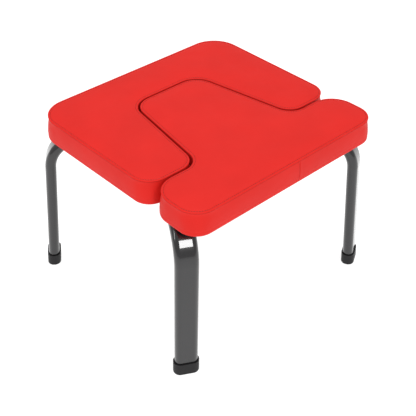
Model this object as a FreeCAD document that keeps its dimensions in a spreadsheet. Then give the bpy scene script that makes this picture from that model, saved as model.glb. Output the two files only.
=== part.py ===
import FreeCAD, Part
import math
import os
import Sketcher

# Yoga headstand bench: a padded U-shaped seat on a bent tube frame, with a T-shaped
# insert that lifts out of the seat to open the neck gap.
# +X runs along the insert's crossbar, +Y from the crossbar to the seat's closed end, +Z up.
# The origin is on the floor, below the centre of the bounding box.

SIZES = {
    # overall
    "seat_width": 430, "seat_depth": 408, "back_overhang": 22.5, "seam_height": 336,
    # pads
    "band_height": 44, "crown": 2.5, "edge_round": 2.2, "cover_thickness": 1.2,
    "board_thickness": 12, "hem_width": 14, "dust_cover_thickness": 0.8, "dust_cover_margin": 9,
    "insert_clearance": 0.3,
    # outlines of the pads
    "crossbar_depth": 105.5, "crossbar_gap": 4, "tongue_gap": 3,
    "arm_width": 102.5, "arm_root_width": 139, "base_depth": 92,
    "seat_back_corner": 53, "arm_outer_corner": 38, "arm_inner_corner": 33, "opening_corner": 40,
    "crossbar_front_corner": 40, "crossbar_back_corner": 45, "crossbar_inner_corner": 33,
    # tubes
    "tube_width": 40, "tube_depth": 20, "tube_wall": 1.5, "tube_corner": 9.5,
    "leg_bend": 60, "back_rail_straight": 6, "leg_lean": 3.5, "front_side_lean": 1.3,
    "front_foot_outset": 0.6, "back_foot_inset": 4, "foot_front_inset": 20.5,
    "front_heading": 29, "back_heading": 54, "cross_tube_setback": 3,
    # foot caps
    "cap_wall": 2.4, "cap_height": 23, "cap_base": 4, "cap_round": 2,
    # fasteners
    "bolt_radius": 3, "bolt_clearance": 0.3, "bolt_tip_depth": 2.5,
    "bolt_head_ring": 2.5, "bolt_head_height": 4,
    "bolt_socket_radius": 2.3, "bolt_socket_depth": 2.4,
    "washer_ring": 4, "washer_thickness": 1.6,
    "nut_wall": 1, "nut_barrel_length": 9, "nut_flange_ring": 6.5, "nut_flange_thickness": 1.5,
    "front_bolt_inset": 27.5, "back_bolt_inset": 48,
    "pin_radius": 6, "pin_clearance": 0.3, "pin_engagement": 9.7, "pin_inset": 15,
    "pin_tip_chamfer": 1.5,
    "screw_radius": 1.7, "screw_bite": 7, "screw_head_ring": 1.9, "screw_head_height": 2.2,
    "staple_width": 10, "staple_wire": 0.6, "staple_pitch": 38, "staple_inset": 12,
}

doc = FreeCAD.newDocument("headstand_bench")
sheet = doc.addObject("Spreadsheet::Sheet", "sizes")
for row, (alias, number) in enumerate(SIZES.items(), start=1):
    sheet.set(f"A{row}", alias)
    sheet.set(f"B{row}", str(number))
    sheet.setAlias(f"B{row}", alias)
doc.recompute()

# Places worked out from the driving sizes, as expressions on the sheet.
FRONT = "(-(sizes.seat_depth + sizes.back_overhang) / 2)"
CROSSBAR_BACK = f"({FRONT} + sizes.crossbar_depth)"
ARM_FRONT = f"({CROSSBAR_BACK} + sizes.crossbar_gap)"
SEAT_BACK = f"({FRONT} + sizes.seat_depth)"
OPENING_END = f"({SEAT_BACK} - sizes.base_depth)"
SIDE = "(sizes.seat_width / 2)"
MOUTH_HALF = f"({SIDE} - sizes.arm_width)"
END_HALF = f"({SIDE} - sizes.arm_root_width)"
PAD_BOTTOM = "(sizes.seam_height - sizes.band_height)"
RAIL_TOP = f"({PAD_BOTTOM} - sizes.dust_cover_thickness)"
RAIL_MIDDLE = f"({RAIL_TOP} - sizes.tube_depth / 2)"
RAIL_BOTTOM = f"({RAIL_TOP} - sizes.tube_depth)"
BOARD_BOTTOM = f"({PAD_BOTTOM} + sizes.cover_thickness)"
BOARD_TOP = f"({BOARD_BOTTOM} + sizes.board_thickness)"
WASHER_BOTTOM = f"({RAIL_BOTTOM} - sizes.washer_thickness)"
BOLT_HOLE = "(sizes.bolt_radius + sizes.bolt_clearance)"
INSERT_BOARD_BOTTOM = f"({BOARD_BOTTOM} + sizes.insert_clearance)"
PIN_BOTTOM = f"({RAIL_TOP} - sizes.pin_engagement)"


def value(expression):
    """The number that an expression on the sheet has now, in millimetres or degrees."""
    result = sheet.evalExpression(str(expression))
    return float(getattr(result, "Value", result))


def add(kind, label, **expressions):
    """A document object with each named property bound to an expression."""
    item = doc.addObject(kind, label)
    item.Label = label
    for name, expression in expressions.items():
        item.setExpression(name, expression)
    return item


def at(item, x, y, z):
    """Bind an object's place to three expressions."""
    for axis, expression in zip("xyz", (x, y, z)):
        item.setExpression(f"Placement.Base.{axis}", str(expression))
    return item


def cut(label, base, *tools):
    """Base without the tools."""
    tool = tools[0] if len(tools) == 1 else group(f"{label}_tools", tools)
    item = add("Part::Cut", label)
    item.Base = base
    item.Tool = tool
    return item


def common(label, base, tool):
    """What base and tool share."""
    item = add("Part::Common", label)
    item.Base = base
    item.Tool = tool
    return item


def fuse(label, *shapes):
    """The shapes joined into one solid."""
    item = add("Part::MultiFuse", label)
    item.Shapes = list(shapes)
    item.Refine = True
    return item


def group(label, links):
    """Separate solids kept side by side in one object."""
    item = add("Part::Compound", label)
    item.Links = list(links)
    return item


def mirror(label, source):
    """The same piece on the other side of the centre plane."""
    item = add("Part::Mirroring", label)
    item.Source = source
    item.Normal = (1, 0, 0)
    return item


def solid(label, shape):
    """A shape made with Part's own functions, from sizes read off the sheet."""
    item = add("Part::Feature", label)
    item.Shape = shape
    item.Placement = FreeCAD.Placement()
    return item


# ---------------------------------------------------------------- sketches and bodies

def outline_sketch(body, label, corners):
    """A closed polygon on the body's XY plane, each corner bound to the sheet."""
    sketch = body.newObject("Sketcher::SketchObject", label)
    plane = next(item for item in body.Origin.OriginFeatures if item.Role == "XY_Plane")
    sketch.AttachmentSupport = [(plane, "")]
    sketch.MapMode = "FlatFace"
    points = [FreeCAD.Vector(value(x), value(y), 0) for x, y in corners]
    for start, end in zip(points, points[1:] + points[:1]):
        sketch.addGeometry(Part.LineSegment(start, end))
    for side in range(len(points)):
        next_side = (side + 1) % len(points)
        sketch.addConstraint(Sketcher.Constraint("Coincident", side, 2, next_side, 1))
    for side, corner in enumerate(corners):
        for kind, expression in zip(("DistanceX", "DistanceY"), corner):
            rule = Sketcher.Constraint(kind, -1, 1, side, 1, value(expression))
            index = sketch.addConstraint(rule)
            sketch.setExpression(f"Constraints[{index}]", expression)
    return sketch


def rounded_block(label, corners, radii, height, lean=None):
    """A body padded from a polygon, with each upright corner rounded to its own radius.

    Lean is the pad's direction where it isn't upright.
    """
    body = add("PartDesign::Body", label)
    sketch = outline_sketch(body, f"{label}_outline", corners)
    pad = body.newObject("PartDesign::Pad", f"{label}_pad")
    pad.Profile = sketch
    pad.setExpression("Length", height)
    if lean:
        pad.UseCustomVector = True
        pad.Direction = lean
        pad.AlongSketchNormal = True
    doc.recompute()
    last = pad
    for radius in dict.fromkeys(radii):
        places = [corner for corner, own in zip(corners, radii) if own == radius]
        last = round_edges(body, f"{label}_corner", last, radius, upright_at(last.Shape, places))
    return body, last


def upright_at(shape, places):
    """Names of the edges that start at the given corners of the base and rise from there."""
    base = shape.BoundBox.ZMin
    names = []
    for number, edge in enumerate(shape.Edges, start=1):
        ends = sorted((vertex.Point for vertex in edge.Vertexes), key=lambda point: point.z)
        if abs(ends[0].z - base) > 1e-4 or ends[-1].z - base < 1:
            continue
        if any(math.hypot(ends[0].x - value(x), ends[0].y - value(y)) < 1e-3 for x, y in places):
            names.append(f"Edge{number}")
    return names


def level_edges(shape, height):
    """Names of the edges that lie wholly at one height."""
    return [f"Edge{number}" for number, edge in enumerate(shape.Edges, start=1)
            if all(abs(vertex.Point.z - height) < 1e-4 for vertex in edge.Vertexes)]


def round_edges(body, label, feature, radius, names):
    """A fillet on the named edges of the body's latest feature."""
    fillet = body.newObject("PartDesign::Fillet", label)
    fillet.Base = (feature, names)
    fillet.setExpression("Radius", radius)
    doc.recompute()
    return fillet


# ---------------------------------------------------------------- frame tubes

def rounded_rectangle(width, depth, radius):
    """A flat face centred on the origin, with rounded corners."""
    half_width, half_depth = width / 2, depth / 2
    quarter = radius * (1 - math.sqrt(0.5))
    edges = []
    last = None
    first = None
    for sign_x, sign_y in ((1, 1), (-1, 1), (-1, -1), (1, -1)):
        side = FreeCAD.Vector(sign_x * half_width, sign_y * (half_depth - radius), 0)
        end = FreeCAD.Vector(sign_x * (half_width - radius), sign_y * half_depth, 0)
        middle = FreeCAD.Vector(sign_x * (half_width - quarter), sign_y * (half_depth - quarter), 0)
        if sign_x * sign_y < 0:
            side, end = end, side
        edges.append(Part.Arc(side, middle, end).toShape())
        if last:
            edges.append(Part.makeLine(last, side))
        first = first or side
        last = end
    edges.append(Part.makeLine(last, first))
    return Part.Face(Part.Wire(Part.__sortEdges__(edges)))


def tube_run(start, steps, inset):
    """A bar swept from a start placement through straights and bends.

    The section's wide side is the placement's X axis and travel is along its Z axis.
    A bend about "wide" turns travel towards local +Y, and one about "deep" towards local -X.
    A step is (kind, length or angle, sideways lean or bend radius).
    """
    face = rounded_rectangle(value("sizes.tube_width") - 2 * inset,
                             value("sizes.tube_depth") - 2 * inset,
                             value("sizes.tube_corner") - inset)
    turns = {"wide": (FreeCAD.Vector(0, 1, 0), FreeCAD.Vector(-1, 0, 0)),
             "deep": (FreeCAD.Vector(-1, 0, 0), FreeCAD.Vector(0, -1, 0))}
    place = start
    pieces = []
    for kind, amount, extra in steps:
        section = face.copy()
        section.Placement = place
        if kind == "straight":
            side = amount * math.tan(math.radians(extra))
            travel = place.Rotation.multVec(FreeCAD.Vector(side, 0, amount))
            pieces.append(section.extrude(travel))
            place = FreeCAD.Placement(place.Base + travel, place.Rotation)
            continue
        towards, axis = (place.Rotation.multVec(vector) for vector in turns[kind])
        centre = place.Base + towards * extra
        pieces.append(section.revolve(centre, axis, amount))
        turn = FreeCAD.Rotation(axis, amount)
        place = FreeCAD.Placement(centre + turn.multVec(place.Base - centre), turn * place.Rotation)
    return pieces[0].fuse(pieces[1:]).removeSplitter()


def heading(angle, forward):
    """The unit vector in plan that a left leg's bend heads along, towards the centre plane."""
    return FreeCAD.Vector(math.sin(math.radians(angle)), forward * math.cos(math.radians(angle)), 0)


front_inward = heading(value("sizes.front_heading"), 1)
back_inward = heading(value("sizes.back_heading"), -1)


def cap_reach(inward):
    """How far along Y a foot cap reaches from its own centre."""
    wall, corner = value("sizes.cap_wall"), value("sizes.tube_corner + sizes.cap_wall")
    half_width = value("sizes.tube_width / 2") + wall - corner
    lean = math.radians(value("sizes.leg_lean"))
    half_depth = (value("sizes.tube_depth / 2") + wall) / math.cos(lean) - corner
    return half_width * abs(inward.x) + half_depth * abs(inward.y) + corner


front_edge = value(FRONT)
front_foot = FreeCAD.Vector(value(f"-{SIDE} - sizes.front_foot_outset"),
                            front_edge + value("sizes.foot_front_inset"), 0)
back_foot = FreeCAD.Vector(value(f"sizes.back_foot_inset - {SIDE}"),
                           -front_edge - cap_reach(back_inward), 0)


def bend_height():
    """The height at which a leg meets its bend."""
    return value(RAIL_MIDDLE) - value("sizes.leg_bend") * (1 - value("sin(sizes.leg_lean)"))


def side_shift(height):
    """How far a left front leg has moved along its wide side at a height, as a vector in plan."""
    across = FreeCAD.Vector(front_inward.y, -front_inward.x, 0)
    return across * (height * value("tan(sizes.front_side_lean) / cos(sizes.leg_lean)"))


front_rail = front_foot + side_shift(bend_height())


def side_tube_steps():
    """Straights and bends of the left side tube, from the front foot to the back foot."""
    lean = value("sizes.leg_lean")
    sine, cosine = math.sin(math.radians(lean)), math.cos(math.radians(lean))
    bend = value("sizes.leg_bend")
    leg = (bend_height() - value("sizes.cap_base")) / cosine
    corner_reach = bend_height() * sine / cosine + bend * cosine
    # the two straights' lines meet at a corner in plan, which one large bend rounds off
    across = back_foot - front_rail
    spread = front_inward.x * back_inward.y - front_inward.y * back_inward.x
    front_run = (across.x * back_inward.y - across.y * back_inward.x) / spread
    back_run = (across.x * front_inward.y - across.y * front_inward.x) / spread
    turn = math.degrees(front_inward.getAngle(-back_inward))
    back_straight = value("sizes.back_rail_straight")
    tangent = back_run - corner_reach - back_straight
    rail_bend = tangent / math.tan(math.radians(turn / 2))
    return [("straight", leg, value("sizes.front_side_lean")), ("wide", 90 - lean, bend),
            ("straight", front_run - corner_reach - tangent, 0), ("deep", turn, rail_bend),
            ("straight", back_straight, 0),
            ("wide", 90 - lean, bend), ("straight", leg, 0)]


def side_tube_start():
    """Placement of the left side tube's front end: X along the wide side, Z up the leg."""
    lean = math.radians(value("sizes.leg_lean"))
    up = front_inward * math.sin(lean) + FreeCAD.Vector(0, 0, math.cos(lean))
    inside = front_inward * math.cos(lean) - FreeCAD.Vector(0, 0, math.sin(lean))
    rotation = FreeCAD.Rotation(inside.cross(up), inside, up, "XYZ")
    base = value("sizes.cap_base")
    return FreeCAD.Placement(front_foot + side_shift(base) + up * (base / math.cos(lean)), rotation)


def on_rail(start, inward, place_y):
    """The point in plan where a rail's straight centreline passes one Y value."""
    point = start + inward * ((value(place_y) - start.y) / inward.y)
    return point.x, point.y


front_bolt = on_rail(front_rail, front_inward, f"{ARM_FRONT} + sizes.front_bolt_inset")
back_bolt = on_rail(back_foot, back_inward, f"{SEAT_BACK} - sizes.back_bolt_inset")
pin_place = on_rail(front_rail, front_inward, f"{CROSSBAR_BACK} - sizes.pin_inset")
left_bolts = [front_bolt, back_bolt]
all_bolts = left_bolts + [(-x, y) for x, y in left_bolts]
all_pins = [pin_place, (-pin_place[0], pin_place[1])]


def cylinders(label, places, radius, height, bottom):
    """Upright cylinders of one size at several places in plan."""
    items = []
    for number, (x, y) in enumerate(places, start=1):
        item = add("Part::Cylinder", f"{label}_{number}", Radius=radius, Height=height)
        items.append(at(item, x, y, bottom))
    return items


def make_side_tubes():
    """The left bent tube with its bolt and pin holes, and its mirror image."""
    start, steps = side_tube_start(), side_tube_steps()
    outer = solid("left_tube_outer", tube_run(start, steps, 0))
    inner = solid("left_tube_inner", tube_run(start, steps, value("sizes.tube_wall")))
    hollow = cut("left_tube_hollow", outer, inner)
    bolt_holes = cylinders("bolt_hole", left_bolts, BOLT_HOLE,
                           "3 * sizes.tube_depth", f"{RAIL_MIDDLE} - 1.5 * sizes.tube_depth")
    pin_hole = cylinders("pin_hole", [pin_place], "sizes.pin_radius + sizes.pin_clearance",
                         "sizes.tube_depth", RAIL_MIDDLE)
    left = cut("left_side_tube", hollow, *bolt_holes, *pin_hole)
    return left, mirror("right_side_tube", left), outer


def make_cross_tube(tube_outer):
    """The straight tube under the joint between the pads, coped onto the side tubes."""
    length = "2 * sizes.arm_root_width"
    bars = []
    for label, inset in (("cross_outer", "0"), ("cross_inner", "sizes.tube_wall")):
        bar = add("Part::Box", label, Length=length,
                  Width=f"sizes.tube_width - 2 * {inset}", Height=f"sizes.tube_depth - 2 * {inset}")
        front = f"{OPENING_END} + sizes.cross_tube_setback - sizes.tube_width / 2 + {inset}"
        at(bar, f"-({length}) / 2", front, f"{RAIL_BOTTOM} + {inset}")
        bars.append(bar)
    doc.recompute()
    rounded = []
    for bar, radius in zip(bars, ("sizes.tube_corner", "sizes.tube_corner - sizes.tube_wall")):
        long_edges = [number for number, edge in enumerate(bar.Shape.Edges, start=1)
                      if abs(edge.tangentAt(edge.FirstParameter).x) > 0.9]
        item = add("Part::Fillet", f"{bar.Label}_rounded")
        item.Base = bar
        item.Edges = [(number, value(radius), value(radius)) for number in long_edges]
        rounded.append(item)
    hollow = cut("cross_hollow", *rounded)
    sides = [tube_outer, mirror("right_tube_outer", tube_outer)]
    trimmed = cut("cross_trimmed", hollow, *sides)
    doc.recompute()
    middle = max(trimmed.Shape.Solids, key=lambda piece: piece.Volume)
    return solid("rear_cross_tube", middle)


def make_foot_caps(tube_outer):
    """Rubber caps over the four tube ends, flat on the floor."""
    half_width = "(sizes.tube_width / 2 + sizes.cap_wall)"
    half_depth = "((sizes.tube_depth / 2 + sizes.cap_wall) / cos(sizes.leg_lean))"
    corners = [(f"-{half_width}", f"-{half_depth}"), (half_width, f"-{half_depth}"),
               (half_width, half_depth), (f"-{half_width}", half_depth)]
    caps = []
    for end, foot, inward, side_lean in (("front", front_foot, front_inward, "sizes.front_side_lean"),
                                         ("back", back_foot, back_inward, "0")):
        slant = FreeCAD.Vector(value(f"tan({side_lean})"), value("tan(sizes.leg_lean)"), 1)
        body, last = rounded_block(f"{end}_cap_block", corners,
                                   ["sizes.tube_corner + sizes.cap_wall"] * 4, "sizes.cap_height",
                                   slant)
        round_edges(body, f"{end}_cap_foot", last, "sizes.cap_round", level_edges(last.Shape, 0))
        turn = math.degrees(math.atan2(-inward.x, inward.y))
        body.Placement = FreeCAD.Placement(foot, FreeCAD.Rotation(FreeCAD.Vector(0, 0, 1), turn))
        left = cut(f"{end}_left_foot_cap", body, tube_outer)
        caps += [left, mirror(f"{end}_right_foot_cap", left)]
    return caps


# ---------------------------------------------------------------- pads

def seat_corners():
    """The U-shaped seat's polygon and its corner radii, clockwise from the left arm's outer corner."""
    corners = [(f"-{SIDE}", ARM_FRONT), (f"-{SIDE}", SEAT_BACK), (SIDE, SEAT_BACK), (SIDE, ARM_FRONT),
               (MOUTH_HALF, ARM_FRONT), (END_HALF, OPENING_END),
               (f"-{END_HALF}", OPENING_END), (f"-{MOUTH_HALF}", ARM_FRONT)]
    radii = ["sizes.arm_outer_corner", "sizes.seat_back_corner", "sizes.seat_back_corner",
             "sizes.arm_outer_corner", "sizes.arm_inner_corner", "sizes.opening_corner",
             "sizes.opening_corner", "sizes.arm_inner_corner"]
    return corners, radii


def insert_corners():
    """The T-shaped insert's polygon and its corner radii, clockwise from the crossbar's left front."""
    tip = f"{OPENING_END} - sizes.tongue_gap"
    root_half = f"({MOUTH_HALF} - sizes.tongue_gap)"
    tip_half = f"({END_HALF} - sizes.tongue_gap)"
    corners = [(f"-{SIDE}", FRONT), (f"-{SIDE}", CROSSBAR_BACK), (f"-{root_half}", CROSSBAR_BACK),
               (f"-{tip_half}", tip), (tip_half, tip), (root_half, CROSSBAR_BACK),
               (SIDE, CROSSBAR_BACK), (SIDE, FRONT)]
    radii = ["sizes.crossbar_front_corner", "sizes.crossbar_back_corner", "sizes.crossbar_inner_corner",
             "sizes.opening_corner - sizes.tongue_gap", "sizes.opening_corner - sizes.tongue_gap",
             "sizes.crossbar_inner_corner", "sizes.crossbar_back_corner", "sizes.crossbar_front_corner"]
    return corners, radii


def footprint(block, inset, bottom, thickness):
    """A flat plate with the block's outline, drawn in by an inset."""
    base = min(block.Shape.Faces, key=lambda face: face.BoundBox.ZMax)
    outline = base.OuterWire.makeOffset2D(-inset)
    outline.translate(FreeCAD.Vector(0, 0, bottom - base.BoundBox.ZMin))
    return Part.Face(outline).extrude(FreeCAD.Vector(0, 0, thickness))


def staples(label, block, bottom, obstacles):
    """Staple crowns along the dust cover's edge, left out where a tube is in the way."""
    base = min(block.Shape.Faces, key=lambda face: face.BoundBox.ZMax)
    line = base.OuterWire.makeOffset2D(-value("sizes.staple_inset"))
    width, wire = value("sizes.staple_width"), value("sizes.staple_wire")
    count = round(line.Length / value("sizes.staple_pitch"))
    points = line.discretize(Number=4 * count + 1)
    crowns = []
    for before, middle, after in zip(points[0::4], points[1::4], points[2::4]):
        along = after - before
        crown = Part.makeBox(width, wire, wire, FreeCAD.Vector(-width / 2, -wire / 2, 0))
        turn = FreeCAD.Rotation(FreeCAD.Vector(1, 0, 0), FreeCAD.Vector(along.x, along.y, 0))
        crown.Placement = FreeCAD.Placement(FreeCAD.Vector(middle.x, middle.y, bottom - wire), turn)
        if all(crown.distToShape(obstacle.Shape)[0] > wire for obstacle in obstacles):
            crowns.append(crown)
    return solid(label, Part.makeCompound(crowns))


def make_pad(name, outline, lift, studs, staple_obstacles):
    """One upholstered pad: board, foam, two cover pieces, dust cover and staples.

    Studs pass up through the dust cover and the cover's hem to the board.
    """
    corners, radii = outline
    bottom = f"({PAD_BOTTOM} + {lift})"
    block, last = rounded_block(f"{name}_block", corners, radii,
                                f"sizes.band_height + sizes.crown - {lift}")
    top = last.Shape.BoundBox.ZMax
    round_edges(block, f"{name}_top_edge", last, "sizes.edge_round", level_edges(last.Shape, top))
    block.setExpression("Placement.Base.z", bottom)
    doc.recompute()
    core = add("Part::Offset", f"{name}_core", Value="-sizes.cover_thickness")
    core.Source = block
    cover = cut(f"{name}_cover", block, core)
    reach = "2 * sizes.seat_width"
    above = at(add("Part::Box", f"{name}_above_seam", Length=reach, Width=reach, Height=reach),
               f"-({reach}) / 2", f"-({reach}) / 2", "sizes.seam_height")
    below = at(add("Part::Box", f"{name}_below_foam", Length=reach, Width=reach, Height=reach),
               f"-({reach}) / 2", f"-({reach}) / 2",
               f"{bottom} + sizes.cover_thickness + sizes.board_thickness - {reach}")
    thickness, hem = value("sizes.cover_thickness"), value("sizes.hem_width")
    window = solid(f"{name}_hem_window",
                   footprint(block, hem, value(bottom) - thickness, 3 * thickness))
    plate = solid(f"{name}_dust_plate",
                  footprint(block, value("sizes.dust_cover_margin"),
                            value(f"{bottom} - sizes.dust_cover_thickness"),
                            value("sizes.dust_cover_thickness")))
    window_core = cut(f"{name}_hem_cutter", window, core)
    pieces = [common(f"{name}_top_panel", cover, above),
              cut(f"{name}_side_band", cover, above, window_core, *studs),
              cut(f"{name}_dust_cover", plate, *studs)]
    doc.recompute()
    crown_bottom = value(f"{bottom} - sizes.dust_cover_thickness")
    pieces.append(staples(f"{name}_staples", block, crown_bottom, staple_obstacles))
    return pieces, core, below


def make_seat(tube_outer):
    """The seat pad with the bolts that hold it to the side tubes."""
    bolt_clearance = cylinders("seat_bolt_clearance", all_bolts, BOLT_HOLE,
                               "2 * sizes.board_thickness", f"{PAD_BOTTOM} - sizes.board_thickness")
    obstacles = [tube_outer, doc.getObject("right_tube_outer"), doc.getObject("rear_cross_tube")]
    pieces, core, below = make_pad("seat", seat_corners(), "0", bolt_clearance, obstacles)
    nuts = []
    flanges = cylinders("nut_flange", all_bolts, "sizes.bolt_radius + sizes.nut_flange_ring",
                        "sizes.nut_flange_thickness", BOARD_TOP)
    barrels = cylinders("nut_barrel", all_bolts, "sizes.bolt_radius + sizes.nut_wall",
                        "sizes.nut_barrel_length", f"{BOARD_TOP} - sizes.nut_barrel_length")
    bores = cylinders("nut_bore", all_bolts, "sizes.bolt_radius",
                      "3 * sizes.board_thickness", f"{BOARD_TOP} - 2 * sizes.board_thickness")
    for number, (flange, barrel, bore) in enumerate(zip(flanges, barrels, bores), start=1):
        nuts.append(cut(f"tee_nut_{number}", fuse(f"tee_nut_blank_{number}", flange, barrel), bore))
    board = cut("seat_board", common("seat_board_blank", core, below), *barrels, *bolt_clearance)
    foam = cut("seat_foam", cut("seat_foam_blank", core, below), *flanges)
    return pieces + [board, foam, group("seat_tee_nuts", nuts)] + make_bolts()


def make_bolts():
    """Four socket-head bolts with washers under the rails."""
    head_bottom = f"({WASHER_BOTTOM} - sizes.bolt_head_height)"
    discs = cylinders("washer_disc", all_bolts, "sizes.bolt_radius + sizes.washer_ring",
                      "sizes.washer_thickness", WASHER_BOTTOM)
    eyes = cylinders("washer_eye", all_bolts, BOLT_HOLE, "3 * sizes.washer_thickness",
                     f"{WASHER_BOTTOM} - sizes.washer_thickness")
    heads = cylinders("bolt_head", all_bolts, "sizes.bolt_radius + sizes.bolt_head_ring",
                      "sizes.bolt_head_height", head_bottom)
    shanks = cylinders("bolt_shank", all_bolts, "sizes.bolt_radius",
                       f"{BOARD_TOP} - sizes.bolt_tip_depth - {WASHER_BOTTOM}", WASHER_BOTTOM)
    washers = []
    bolts = []
    for number, (x, y) in enumerate(all_bolts, start=1):
        washers.append(cut(f"washer_{number}", discs[number - 1], eyes[number - 1]))
        socket = add("Part::Prism", f"bolt_socket_{number}", Circumradius="sizes.bolt_socket_radius",
                     Height="2 * sizes.bolt_socket_depth")
        socket.Polygon = 6
        at(socket, x, y, f"{head_bottom} - sizes.bolt_socket_depth")
        blank = fuse(f"bolt_blank_{number}", heads[number - 1], shanks[number - 1])
        bolts.append(cut(f"bolt_{number}", blank, socket))
    return [group("seat_washers", washers), group("seat_bolts", bolts)]


def make_insert(tube_outer):
    """The insert pad with the two pins that locate it in the front rails."""
    pin_length = f"({INSERT_BOARD_BOTTOM} - {PIN_BOTTOM})"
    blanks = cylinders("pin_blank", all_pins, "sizes.pin_radius", pin_length, PIN_BOTTOM)
    obstacles = [tube_outer, doc.getObject("right_tube_outer"), doc.getObject("rear_cross_tube")]
    pieces, core, below = make_pad("insert", insert_corners(), "sizes.insert_clearance", blanks,
                                   obstacles)
    doc.recompute()
    shanks = cylinders("screw_shank", all_pins, "sizes.screw_radius", f"{pin_length} + sizes.screw_bite",
                       PIN_BOTTOM)
    pins = []
    screws = []
    for number, (blank, shank) in enumerate(zip(blanks, shanks), start=1):
        head = add("Part::Cone", f"screw_head_{number}", Height="sizes.screw_head_height",
                   Radius1="sizes.screw_radius + sizes.screw_head_ring",
                   Radius2="sizes.screw_radius")
        at(head, *all_pins[number - 1], PIN_BOTTOM)
        tip = add("Part::Chamfer", f"pin_tip_{number}")
        tip.Base = blank
        chamfer = value("sizes.pin_tip_chamfer")
        rims = [index for index, edge in enumerate(blank.Shape.Edges, start=1)
                if edge.BoundBox.ZMax < value(PIN_BOTTOM) + 0.01]
        tip.Edges = [(index, chamfer, chamfer) for index in rims]
        screw = fuse(f"pin_screw_{number}", head, shank)
        screws.append(screw)
        pins.append(cut(f"pin_{number}", tip, screw))
    board = cut("insert_board", common("insert_board_blank", core, below), *shanks)
    foam = cut("insert_foam", core, below)
    return pieces + [board, foam, group("insert_pins", pins), group("insert_pin_screws", screws)]


def write(nodes):
    """Check every object, then write one STEP file for each node."""
    doc.recompute()
    bad = [item.Label for item in doc.Objects if {"Invalid", "Error"} & set(item.State)]
    if bad:
        raise RuntimeError(f"failed features: {bad}")
    os.makedirs("parts", exist_ok=True)
    for node in nodes:
        if node.Shape.isNull() or not node.Shape.isValid() or not node.Shape.Solids:
            raise RuntimeError(f"{node.Label} has no valid solid")
        node.Shape.exportStep(f"parts/{node.Label}.step")


left_tube, right_tube, left_outer = make_side_tubes()
cross_tube = make_cross_tube(left_outer)
nodes = [left_tube, right_tube, cross_tube]
nodes += make_foot_caps(left_outer)
nodes += make_seat(left_outer)
nodes += make_insert(left_outer)
write(nodes)
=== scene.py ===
import math

import bpy
from mathutils import Matrix, Vector, geometry, kdtree, noise
from mathutils.bvhtree import BVHTree


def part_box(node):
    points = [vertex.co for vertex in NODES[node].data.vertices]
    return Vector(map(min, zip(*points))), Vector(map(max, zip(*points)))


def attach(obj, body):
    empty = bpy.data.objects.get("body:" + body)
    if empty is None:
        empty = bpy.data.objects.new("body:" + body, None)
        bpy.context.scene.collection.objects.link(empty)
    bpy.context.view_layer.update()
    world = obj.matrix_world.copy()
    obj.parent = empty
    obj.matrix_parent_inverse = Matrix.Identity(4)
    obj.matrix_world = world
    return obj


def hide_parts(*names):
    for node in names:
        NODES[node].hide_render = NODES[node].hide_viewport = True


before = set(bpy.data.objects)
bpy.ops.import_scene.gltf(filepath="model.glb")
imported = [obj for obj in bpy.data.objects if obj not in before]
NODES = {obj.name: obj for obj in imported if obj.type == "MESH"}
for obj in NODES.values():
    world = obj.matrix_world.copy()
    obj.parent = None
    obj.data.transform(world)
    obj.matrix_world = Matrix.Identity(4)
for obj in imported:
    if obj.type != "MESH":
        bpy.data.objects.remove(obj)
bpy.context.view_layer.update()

# Looks of a yoga headstand bench: two boxed leatherette pads on a bent, painted tube frame.
# +X runs along the insert's crossbar, +Y towards the seat's closed end, +Z up, in metres.

bl_info = {
    "name": "Headstand bench",
    "version": (1, 0, 0),
    "blender": (4, 5, 0),
    "location": "3D View > Sidebar > Bench",
    "description": "Builds the pads, stitching, welds and finishes of a headstand bench on its CAD frame",
    "category": "Object",
}

MM = 0.001


# ---------------------------------------------------------------- sizes and colours

def length(name, description, default):
    """A length that a user can change."""
    return bpy.props.FloatProperty(name=name, description=description, default=default,
                                   precision=5, unit="LENGTH")


def angle(name, description, degrees):
    """An angle that a user can change."""
    return bpy.props.FloatProperty(name=name, description=description,
                                   default=math.radians(degrees), subtype="ANGLE")


def colour(name, description, default):
    """A colour as an sRGB hex string."""
    return bpy.props.StringProperty(name=name, description=description, default=default)


class PadSizes(bpy.types.PropertyGroup):
    """Outlines and edges of the two pads."""

    crossbar_depth: length("Crossbar depth", "Front to back of the insert's crossbar", 0.1055)
    arm_width: length("Arm width", "Width of a seat arm at its front end", 0.1025)
    arm_root_width: length("Arm root width", "Width of a seat arm where it joins the base", 0.139)
    tongue_gap: length("Tongue gap", "Gap between the insert's tongue and the seat", 0.003)
    seat_back_corner: length("Seat back corner", "Corner radius at the seat's closed end", 0.053)
    arm_outer_corner: length("Arm outer corner", "Outer corner radius of a seat arm's tip", 0.038)
    arm_inner_corner: length("Arm inner corner", "Inner corner radius of a seat arm's tip", 0.033)
    opening_corner: length("Opening corner", "Corner radius at the blind end of the opening", 0.040)
    crossbar_front_corner: length("Crossbar front corner", "Front corner radius of the crossbar", 0.040)
    crossbar_back_corner: length("Crossbar back corner", "Back corner radius of the crossbar", 0.045)
    crossbar_inner_corner: length("Crossbar inner corner", "Radius where tongue and crossbar meet", 0.033)
    corner_tightening: length("Corner tightening", "How much tighter the outer corners are at the boards",
                              0.006)
    point_spacing: length("Point spacing", "Distance between the mesh points of a pad", 0.005)
    cover_thickness: length("Cover thickness", "Thickness of the leatherette", 0.0011)
    top_swell: length("Top swell", "Most that a top may swell under pressure", 0.0012)
    side_swell: length("Side swell", "Most that a side band may swell under pressure", 0.0012)
    band_seam_place: length("Band seam place", "Where the insert's band is joined, right of centre", 0.015)


class StitchSizes(bpy.types.PropertyGroup):
    """Top-stitching along the pads' upper edges."""

    inset: length("Inset", "Distance of the stitching from the pad's side", 0.0043)
    pitch: length("Pitch", "Distance from one stitch to the next", 0.0042)
    stitch: length("Stitch", "Length of one stitch", 0.0024)
    thread_radius: length("Thread radius", "Radius of the sewing thread", 0.0004)


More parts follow.
